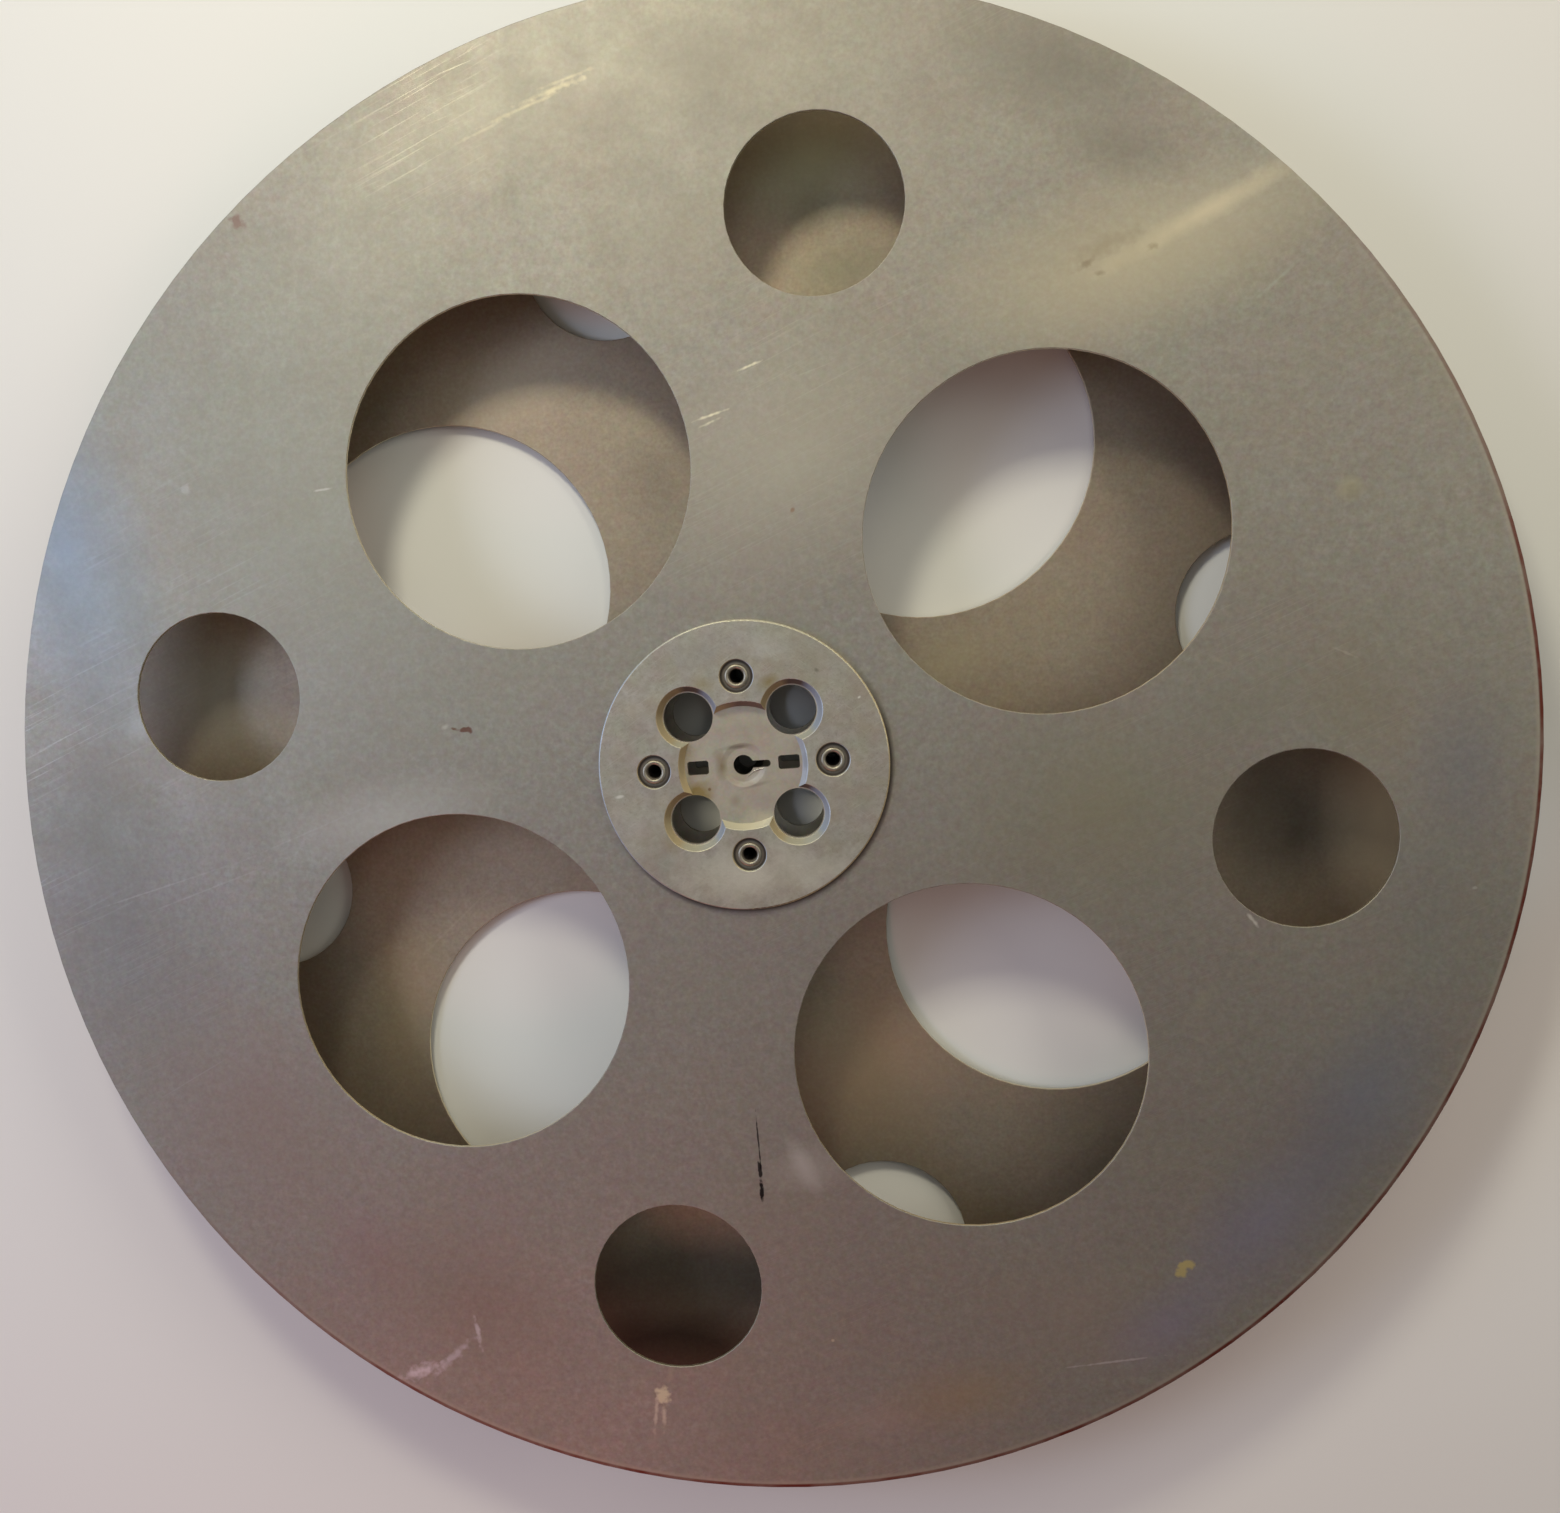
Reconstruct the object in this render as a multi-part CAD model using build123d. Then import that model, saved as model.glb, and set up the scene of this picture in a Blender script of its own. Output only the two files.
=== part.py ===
from build123d import *
from math import radians, sqrt, tan
import os

# A large film reel: two pierced sheet discs, riveted between cast hub plates over a hollow drum.
# The reel lies on its rear hub plate. Z is the spindle axis, +Z is the front, and +X is the keyway.

# ---------------------------------------------------------------- driving dimensions, mm and degrees

# Flange discs, both cut to the same pattern; the rear one is turned over.
flange_radius = 304.8
sheet_thickness = 1.6
sheet_edge_round = 0.35
inside_width = 38.1
pattern_turn = -11.5
hole_count = 4
large_hole_radius = 70.4
large_hole_circle = 148.7
small_hole_radius = 35.0
small_hole_circle = 220.4

# Hub plates: cast discs with a four-lobed recess, let into a window of the same outline in each flange.
hub_plate_radius = 58.5
hub_plate_thickness = 2.8
hub_edge_round = 0.7
recess_edge_round = 0.35
recess_radius = 23.8
recess_draft = 25.0
spigot_wall = 3.4
window_clearance = 0.15

# Hub holes, one at the foot of each lobe, right through both drive plates.
hub_hole_radius = 10.0
hub_hole_circle = 29.5
hub_hole_ledge = 0.4

# Drive plates: steel discs with the keyed spindle bore and two slots for a driving dog.
drive_plate_thickness = 3.0
spindle_bore_radius = 4.05
key_slot_width = 2.9
key_slot_reach = 11.0
dish_radius = 9.0
dish_floor_radius = 6.8
dish_depth = 0.3
drive_slot_length = 8.6
drive_slot_width = 5.6
drive_slot_corner_radius = 1.1
drive_slot_offset = 18.4

# Winding drum: a strip rolled round the drive plates, with a slot for the end of the film.
drum_radius = 50.8
drum_wall = 2.0
drum_clearance = 0.1
film_slot_end_gap = 1.15
film_slot_width = 3.0
film_slot_angle = 90.0

# Butt joint of the drum strip, bridged inside by a strap with four countersunk rivets.
seam_angle = 225.0
seam_gap = 0.4
strap_thickness = 1.6
strap_width = 22.0
strap_end_gap = 1.0
seam_rivet_pitch = 12.0
seam_rivet_rise = 11.0
seam_rivet_radius = 1.6
seam_rivet_head_radius = 3.0
seam_rivet_head_depth = 1.2
seam_rivet_tail_radius = 2.6
seam_rivet_tail_height = 1.0
seam_rivet_sink = 0.1

# Spindle sleeve: a split tube that carries the spindle from one drive plate to the other.
sleeve_wall = 3.0
sleeve_seat_depth = 0.6
sleeve_clearance = 0.1

# Tubular rivets, rolled over at both ends, each inside a spacer tube that holds the hub apart.
rivet_count = 4
rivet_circle = 36.0
rivet_radius = 3.9
rivet_bore_radius = 2.9
rivet_lip_radius = 4.9
rivet_lip_skirt = 0.2
rivet_hole_clearance = 0.2
rivet_pocket_radius = 6.7
rivet_pocket_depth = 1.4
spacer_wall = 2.2

# ---------------------------------------------------------------- sizes that follow

step_angle = 360.0 / hole_count
rear_sheet_z = hub_plate_thickness
inside_z = rear_sheet_z + sheet_thickness
front_sheet_z = inside_z + inside_width
front_face_z = front_sheet_z + sheet_thickness
top_z = front_face_z + hub_plate_thickness
middle_z = top_z / 2

recess_depth = hub_plate_thickness + sheet_thickness
recess_run = recess_depth * tan(radians(recess_draft))
lobe_radius = hub_hole_radius + hub_hole_ledge
rivet_hole_radius = rivet_radius + rivet_hole_clearance

drum_bore_radius = drum_radius - drum_wall
drive_plate_radius = drum_bore_radius - drum_clearance
front_drive_z = front_sheet_z - drive_plate_thickness
rear_drive_top_z = inside_z + drive_plate_thickness
sleeve_radius = spindle_bore_radius + sleeve_wall
strap_height = front_drive_z - rear_drive_top_z - 2 * strap_end_gap
strap_bore_radius = drum_bore_radius - strap_thickness
film_slot_length = inside_width - 2 * film_slot_end_gap
seam_rivet_tail_seat = sqrt(strap_bore_radius**2 - seam_rivet_tail_radius**2)

turn_over = Axis((0, 0, middle_z), (1, 0, 0))


# ---------------------------------------------------------------- shared shapes

def disc(radius, z_low, z_high):
    """A round plate on the spindle axis between two heights."""
    return Pos(0, 0, (z_low + z_high) / 2) * Cylinder(radius, z_high - z_low)


def ring_of(radius, circle, first_angle, z_low, z_high, count=hole_count):
    """Equal round cutters on a circle round the spindle axis."""
    cutter = Pos(circle, 0, 0) * disc(radius, z_low, z_high)
    return [Rot(0, 0, first_angle + i * 360.0 / count) * cutter for i in range(count)]


def four_lobes(growth, z_low, z_high):
    """The hub recess's outline with straight walls, grown outwards all round."""
    first_lobe = step_angle / 2
    lobes = ring_of(lobe_radius + growth, hub_hole_circle, first_lobe, z_low, z_high)
    return disc(recess_radius + growth, z_low, z_high) + lobes


def recess_cutter():
    """The drafted recess: a cone and four lobed cones that open towards the front."""
    low_z = front_sheet_z
    middle = Pos(0, 0, low_z + recess_depth / 2) * Cone(recess_radius, recess_radius + recess_run, recess_depth)
    lobe = Pos(hub_hole_circle, 0, low_z + recess_depth / 2) * Cone(
        lobe_radius, lobe_radius + recess_run, recess_depth
    )
    lobes = [Rot(0, 0, (i + 0.5) * step_angle) * lobe for i in range(hole_count)]
    return middle + lobes


# ---------------------------------------------------------------- flanges

def front_flange():
    """Sheet disc with four large and four small lightening holes round a lobed window."""
    low, high = front_sheet_z, front_face_z
    sheet = disc(flange_radius, low, high)
    sheet -= ring_of(large_hole_radius, large_hole_circle, pattern_turn + step_angle / 2, low, high)
    sheet -= ring_of(small_hole_radius, small_hole_circle, pattern_turn, low, high)
    rims = sheet.edges().filter_by(GeomType.CIRCLE)
    sheet = fillet(rims, sheet_edge_round)
    sheet -= ring_of(rivet_hole_radius, rivet_circle, 0, low, high, rivet_count)
    return sheet - four_lobes(spigot_wall + window_clearance, low, high)


# ---------------------------------------------------------------- hub plates

def front_hub_plate():
    """Cast disc with a spigot that fills the flange's window, a drafted recess and four rivet pockets."""
    plate = disc(hub_plate_radius, front_face_z, top_z)
    outer_edge = plate.edges().filter_by(GeomType.CIRCLE).group_by(Axis.Z)[-1]
    plate = fillet(outer_edge, hub_edge_round)
    plate -= ring_of(rivet_pocket_radius, rivet_circle, 0, top_z - rivet_pocket_depth, top_z, rivet_count)
    plate -= recess_cutter()
    mouths = plate.faces().filter_by(GeomType.PLANE).sort_by(Axis.Z)[-1].inner_wires().edges()
    plate = fillet(mouths, recess_edge_round)
    plate += four_lobes(spigot_wall, front_sheet_z, front_face_z) - recess_cutter()
    return plate - ring_of(rivet_hole_radius, rivet_circle, 0, front_sheet_z, top_z, rivet_count)


# ---------------------------------------------------------------- drive plates and sleeve

def key_slot(z_low, z_high):
    """The keyway: a slot from the spindle axis towards +X with a rounded end."""
    straight = key_slot_reach - key_slot_width / 2
    height = z_high - z_low
    bar = Pos(straight / 2, 0, (z_low + z_high) / 2) * Box(straight, key_slot_width, height)
    return bar + Pos(straight, 0, 0) * disc(key_slot_width / 2, z_low, z_high)


def drive_slots(z_low, z_high):
    """Two slots with rounded corners for a driving dog, one each side of the spindle."""
    slot = Box(drive_slot_length, drive_slot_width, z_high - z_low)
    slot = fillet(slot.edges().filter_by(Axis.Z), drive_slot_corner_radius)
    middle = (z_low + z_high) / 2
    return [Pos(side * drive_slot_offset, 0, middle) * slot for side in (-1, 1)]


def front_drive_plate():
    """Steel disc behind the recess, dished round its keyed spindle bore."""
    low, high = front_drive_z, front_sheet_z
    plate = disc(drive_plate_radius, low, high)
    plate -= ring_of(hub_hole_radius, hub_hole_circle, step_angle / 2, low, high)
    plate -= ring_of(rivet_hole_radius, rivet_circle, 0, low, high, rivet_count)
    plate -= Pos(0, 0, high - dish_depth / 2) * Cone(dish_floor_radius, dish_radius, dish_depth)
    plate -= disc(sleeve_radius + sleeve_clearance, low, low + sleeve_seat_depth)
    plate -= disc(spindle_bore_radius, low, high)
    plate -= key_slot(low, high)
    return plate - drive_slots(low, high)


def spindle_sleeve():
    """Thick split tube seated in both drive plates, its gap in line with the keyways."""
    low = rear_drive_top_z - sleeve_seat_depth
    high = front_drive_z + sleeve_seat_depth
    sleeve = disc(sleeve_radius, low, high) - disc(spindle_bore_radius, low, high)
    return sleeve - key_slot(low, high)


# ---------------------------------------------------------------- winding drum

def seam_rivet(side, rise, growth=0.0):
    """One countersunk rivet through drum and strap; growth makes it the cutter for its own hole."""
    outside = drum_radius - seam_rivet_sink
    head = Cone(seam_rivet_radius + growth, seam_rivet_head_radius + growth, seam_rivet_head_depth)
    head = Pos(0, 0, outside - seam_rivet_head_depth / 2) * head
    shank_length = outside - seam_rivet_tail_seat + seam_rivet_tail_height
    shank = Cylinder(seam_rivet_radius + growth, shank_length)
    shank = Pos(0, 0, outside - shank_length / 2) * shank
    rivet = head + shank
    if growth == 0.0:
        tail = Cylinder(seam_rivet_tail_radius, seam_rivet_tail_height)
        rivet += Pos(0, 0, seam_rivet_tail_seat - seam_rivet_tail_height / 2) * tail
    else:
        rivet += Pos(0, 0, outside + seam_rivet_sink) * Cylinder(
            seam_rivet_head_radius + growth, 2 * seam_rivet_sink
        )
    upright = Pos(0, 0, middle_z + rise) * Rot(0, 90, 0) * rivet
    offset_angle = side * seam_rivet_pitch / 2
    return Rot(0, 0, seam_angle + offset_angle) * upright


def seam_rivet_places():
    """The angular side and the rise of each of the four seam rivets."""
    return [(side, rise) for side in (-1, 1) for rise in (-seam_rivet_rise, seam_rivet_rise)]


def seam_rivet_holes():
    """Clearance cutters for all four seam rivets."""
    return [seam_rivet(side, rise, drum_clearance) for side, rise in seam_rivet_places()]


def winding_drum():
    """Rolled strip between the flanges, open at its seam and pierced with the film slot."""
    drum = disc(drum_radius, inside_z, front_sheet_z) - disc(drum_bore_radius, inside_z, front_sheet_z)
    middle_wall = drum_radius - drum_wall / 2
    slot = Pos(middle_wall, 0, middle_z) * Box(3 * drum_wall, film_slot_width, film_slot_length)
    seam = Pos(middle_wall, 0, middle_z) * Box(3 * drum_wall, seam_gap, inside_width)
    drum -= Rot(0, 0, film_slot_angle) * slot
    drum -= Rot(0, 0, seam_angle) * seam
    return drum - seam_rivet_holes()


def drum_seam_strap():
    """Curved plate inside the drum that bridges the seam."""
    low = middle_z - strap_height / 2
    high = middle_z + strap_height / 2
    ring = disc(drum_bore_radius, low, high) - disc(strap_bore_radius, low, high)
    sector = Pos(drum_bore_radius, 0, middle_z) * Box(drum_bore_radius, strap_width, strap_height)
    return Rot(0, 0, seam_angle) * (ring & sector) - seam_rivet_holes()


# ---------------------------------------------------------------- rivets and spacers

def tubular_rivet():
    """Tube rolled outwards at both ends, on the floors of the rivet pockets."""
    low = rivet_pocket_depth
    high = top_z - rivet_pocket_depth
    curl = (rivet_lip_radius - rivet_bore_radius) / 2
    lip_middle = rivet_bore_radius + curl
    front_lip_z = high + rivet_lip_skirt
    rear_lip_z = low - rivet_lip_skirt
    with BuildSketch(Plane.XZ) as profile:
        with BuildLine():
            Line((rivet_bore_radius, rear_lip_z), (rivet_bore_radius, front_lip_z))
            ThreePointArc(
                (rivet_bore_radius, front_lip_z), (lip_middle, front_lip_z + curl), (rivet_lip_radius, front_lip_z)
            )
            Polyline(
                (rivet_lip_radius, front_lip_z),
                (rivet_lip_radius, high),
                (rivet_radius, high),
                (rivet_radius, low),
                (rivet_lip_radius, low),
                (rivet_lip_radius, rear_lip_z),
            )
            ThreePointArc(
                (rivet_lip_radius, rear_lip_z), (lip_middle, rear_lip_z - curl), (rivet_bore_radius, rear_lip_z)
            )
        make_face()
    return Pos(rivet_circle, 0, 0) * revolve(profile.sketch, Axis.Z)


def spacer_tube():
    """Tube round a rivet, from one drive plate to the other."""
    outside = disc(rivet_hole_radius + spacer_wall, rear_drive_top_z, front_drive_z)
    return Pos(rivet_circle, 0, 0) * (outside - disc(rivet_hole_radius, rear_drive_top_z, front_drive_z))


# ---------------------------------------------------------------- the assembly

def build_parts():
    """Every piece of the reel at its place, by name."""
    parts = {
        "front_flange": front_flange(),
        "front_hub_plate": front_hub_plate(),
        "front_drive_plate": front_drive_plate(),
        "spindle_sleeve": spindle_sleeve(),
        "winding_drum": winding_drum(),
        "drum_seam_strap": drum_seam_strap(),
    }
    for name in ("flange", "hub_plate", "drive_plate"):
        parts["rear_" + name] = parts["front_" + name].rotate(turn_over, 180)
    for i, (side, rise) in enumerate(seam_rivet_places()):
        parts[f"seam_rivet_{i + 1}"] = seam_rivet(side, rise)
    rivet, spacer = tubular_rivet(), spacer_tube()
    for i in range(rivet_count):
        turn = Rot(0, 0, i * 360.0 / rivet_count)
        parts[f"tubular_rivet_{i + 1}"] = turn * rivet
        parts[f"spacer_tube_{i + 1}"] = turn * spacer
    return parts


os.makedirs("parts", exist_ok=True)
for node, shape in build_parts().items():
    export_step(shape, f"parts/{node}.step")
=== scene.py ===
import math

import bmesh
import bpy
from mathutils import Matrix, Vector


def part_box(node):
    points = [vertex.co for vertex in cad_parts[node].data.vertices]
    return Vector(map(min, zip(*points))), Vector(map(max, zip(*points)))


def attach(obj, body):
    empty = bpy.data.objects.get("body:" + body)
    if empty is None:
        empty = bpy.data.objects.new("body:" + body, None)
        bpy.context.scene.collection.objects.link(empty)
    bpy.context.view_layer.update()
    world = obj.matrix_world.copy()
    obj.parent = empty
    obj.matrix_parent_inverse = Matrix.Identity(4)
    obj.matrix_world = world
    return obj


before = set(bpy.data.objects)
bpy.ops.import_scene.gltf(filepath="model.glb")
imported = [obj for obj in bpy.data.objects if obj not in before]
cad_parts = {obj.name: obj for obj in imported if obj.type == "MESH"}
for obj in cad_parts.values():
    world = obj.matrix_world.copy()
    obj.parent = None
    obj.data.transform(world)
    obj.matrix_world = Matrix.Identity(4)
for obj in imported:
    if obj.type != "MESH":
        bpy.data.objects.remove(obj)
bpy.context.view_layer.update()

# ---------------------------------------------------------------- view
# The reel lies on its rear hub plate and is seen from above, nearly square on, with the keyway to
# the right. The eye is just over half a metre up, so the rear flange looks smaller than the front.

MM = 0.001
front_face_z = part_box("front_flange")[1].z
eye_height = 560.7 * MM
eye = Vector((34.8 * MM, 48.8 * MM, front_face_z + eye_height))
gaze = Vector((-0.1060, -0.0768, -0.9914)).normalized()
top_of_view = Vector((0.0714, 0.9938, -0.0847))
sideways = gaze.cross(top_of_view).normalized()
upward = sideways.cross(gaze)

camera = bpy.data.objects.new("camera", bpy.data.cameras.new("camera"))
turned = Matrix((sideways, upward, -gaze)).transposed().to_4x4()
camera.matrix_world = Matrix.Translation(eye) @ turned
camera.data.sensor_width = 36.0
camera.data.lens = 32.3
camera.data.shift_x = 0.064
camera.data.clip_start = 0.01
bpy.context.scene.collection.objects.link(camera)
bpy.context.scene.camera = camera
bpy.context.scene.view_settings.view_transform = "Standard"


# ---------------------------------------------------------------- flanges
# Two discs of rolled aluminium sheet, blanked and pierced alike, the rear one turned over. Each is
# held under the rim of a hub plate by the four tubular rivets. Handling and film have dulled them.

def linear(hex_colour):
    """An sRGB hex colour as the linear values that a shader socket takes."""
    channels = [int(hex_colour[i : i + 2], 16) / 255 for i in (1, 3, 5)]
    return [c / 12.92 if c <= 0.04045 else ((c + 0.055) / 1.055) ** 2.4 for c in channels] + [1.0]


def add(tree, kind, inputs=None, **settings):
    """Adds one node to a tree. Each input is a value, an output socket or a node's first output."""
    node = tree.nodes.new("ShaderNode" + kind)
    for name, value in settings.items():
        setattr(node, name, value)
    for socket, value in (inputs or {}).items():
        if isinstance(value, bpy.types.Node):
            value = value.outputs[0]
        if isinstance(value, bpy.types.NodeSocket):
            tree.links.new(value, node.inputs[socket])
        else:
            node.inputs[socket].default_value = value
    return node


def empty_material(name):
    """A new material with an empty node tree."""
    material = bpy.data.materials.new(name)
    material.use_nodes = True
    material.node_tree.nodes.clear()
    return material, material.node_tree


def spot(tree, place, middle, size, turn, edge, strength, ragged=None):
    """Mask of one long or round patch: its middle and size in mm and its turn in degrees.

    Edge is the share of the patch over which it fades, and strength is the most that it reaches.
    """
    right_through = 1000
    local = add(
        tree,
        "Mapping",
        {
            "Vector": place,
            "Location": (middle[0] * MM, middle[1] * MM, 0),
            "Rotation": (0, 0, math.radians(turn)),
            "Scale": (size[0] * MM, size[1] * MM, right_through),
        },
        vector_type="TEXTURE",
    )
    # The gradient falls from 1 at the middle to a half at the patch's rim.
    near = add(tree, "TexGradient", {"Vector": local}, gradient_type="SPHERICAL").outputs["Fac"]
    if ragged:
        near = add(tree, "Math", {0: near, 1: ragged}, operation="SUBTRACT")
    rim = 0.5
    faded = {"Value": near, "From Min": rim, "From Max": rim + edge / 2, "To Max": strength}
    return add(tree, "MapRange", faded)


def hairlines(tree, place, turn, length, width, rarity):
    """Mask of fine parallel scratches: noise drawn out one way, cut to its highest crests."""
    rotation = (0, 0, math.radians(turn))
    turned = add(tree, "Mapping", {"Vector": place, "Rotation": rotation}, vector_type="TEXTURE")
    scale = (1 / (length * MM), 1 / (width * MM), 1)
    drawn_out = add(tree, "Mapping", {"Vector": turned, "Scale": scale})
    crests = add(tree, "TexNoise", {"Vector": drawn_out, "Scale": 1.0, "Detail": 1.0})
    soft_edge = 0.10
    return add(tree, "MapRange", {"Value": crests, "From Min": rarity, "From Max": rarity + soft_edge})


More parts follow.
